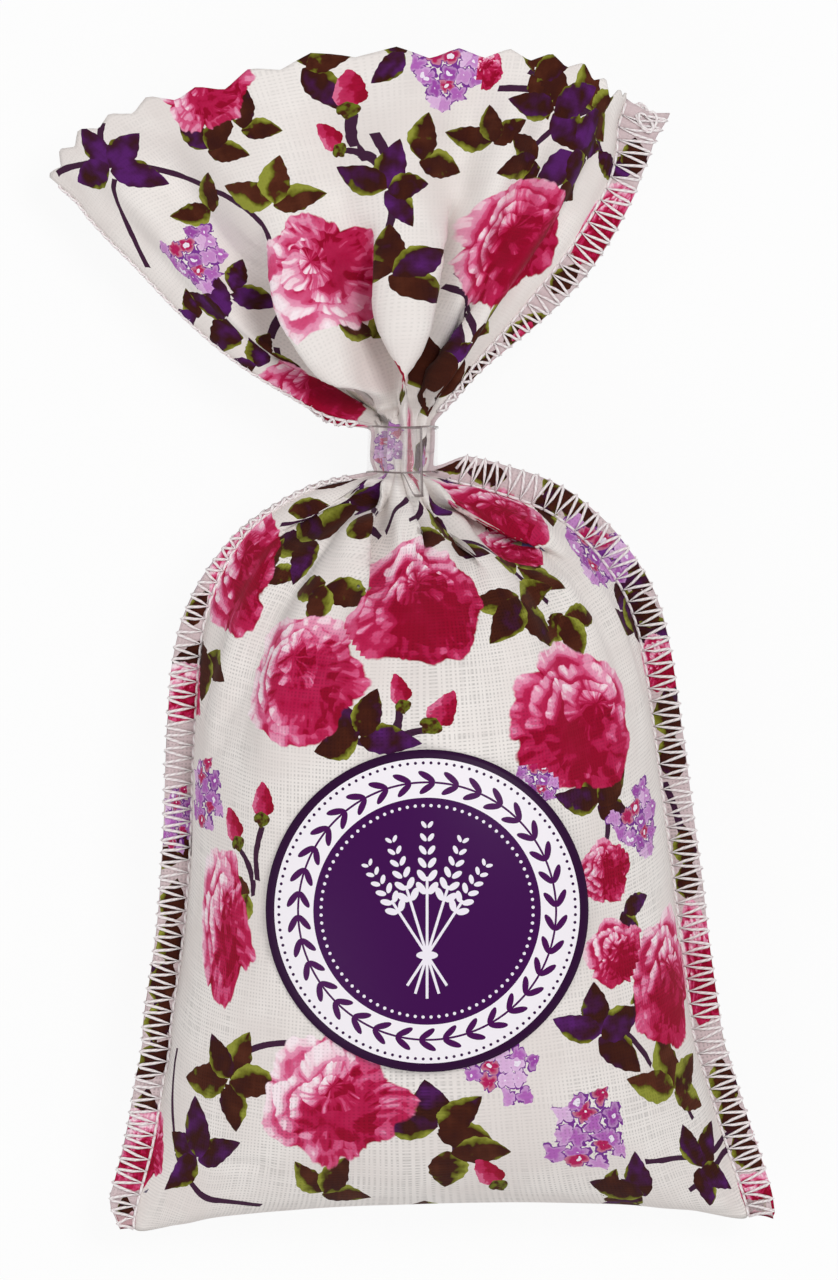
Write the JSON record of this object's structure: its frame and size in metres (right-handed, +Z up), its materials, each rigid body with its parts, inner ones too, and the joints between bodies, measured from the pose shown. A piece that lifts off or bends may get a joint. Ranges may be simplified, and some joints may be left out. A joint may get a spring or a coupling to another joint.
{
  "type": "lavender sachet",
  "caption": "Printed cotton sachet of dried lavender with overlocked side seams, a round front label, a neck gathered in clear film and an open pinked frill that flexes at the neck.",
  "frame": {"origin": "on the table under the middle of the sachet's outline", "axes": "+X to the right as seen from the labelled front, +Y from the folded bottom to the frill, +Z up out of the labelled front; the sachet lies on its back"},
  "size_m": [0.0929, 0.1487, 0.0341],
  "materials": {
    "printed_cotton": "matte",
    "dried_lavender": "matte",
    "label_paper": "satin",
    "sewing_thread": "matte",
    "clear_film": "gloss"
  },
  "bodies": {
    "bag": {"bag_cloth": "printed_cotton", "lavender_fill": "dried_lavender", "round_label": "label_paper", "left_needle_thread": "sewing_thread", "left_front_looper_thread": "sewing_thread", "left_back_looper_thread": "sewing_thread", "right_needle_thread": "sewing_thread", "right_front_looper_thread": "sewing_thread", "right_back_looper_thread": "sewing_thread"},
    "neck": {"neck_gather": "printed_cotton", "neck_band": "clear_film"},
    "frill": {"frill_cloth": "printed_cotton", "frill_left_needle_thread": "sewing_thread", "frill_left_front_looper_thread": "sewing_thread", "frill_left_back_looper_thread": "sewing_thread", "frill_right_needle_thread": "sewing_thread", "frill_right_front_looper_thread": "sewing_thread", "frill_right_back_looper_thread": "sewing_thread"}
  },
  "joints": [
    {"name": "neck_sway", "type": "hinge", "parent": "bag", "child": "neck", "pos_m": [-0.0021, 0.0209, 0.0145], "axis": [0, 0, 1], "range_deg": [-25, 25], "stiffness_Nm_per_rad": 0.02},
    {"name": "frill_nod", "type": "hinge", "parent": "neck", "child": "frill", "pos_m": [-0.0021, 0.0295, 0.0145], "axis": [1, 0, 0], "range_deg": [-30, 30], "stiffness_Nm_per_rad": 0.02}
  ]
}
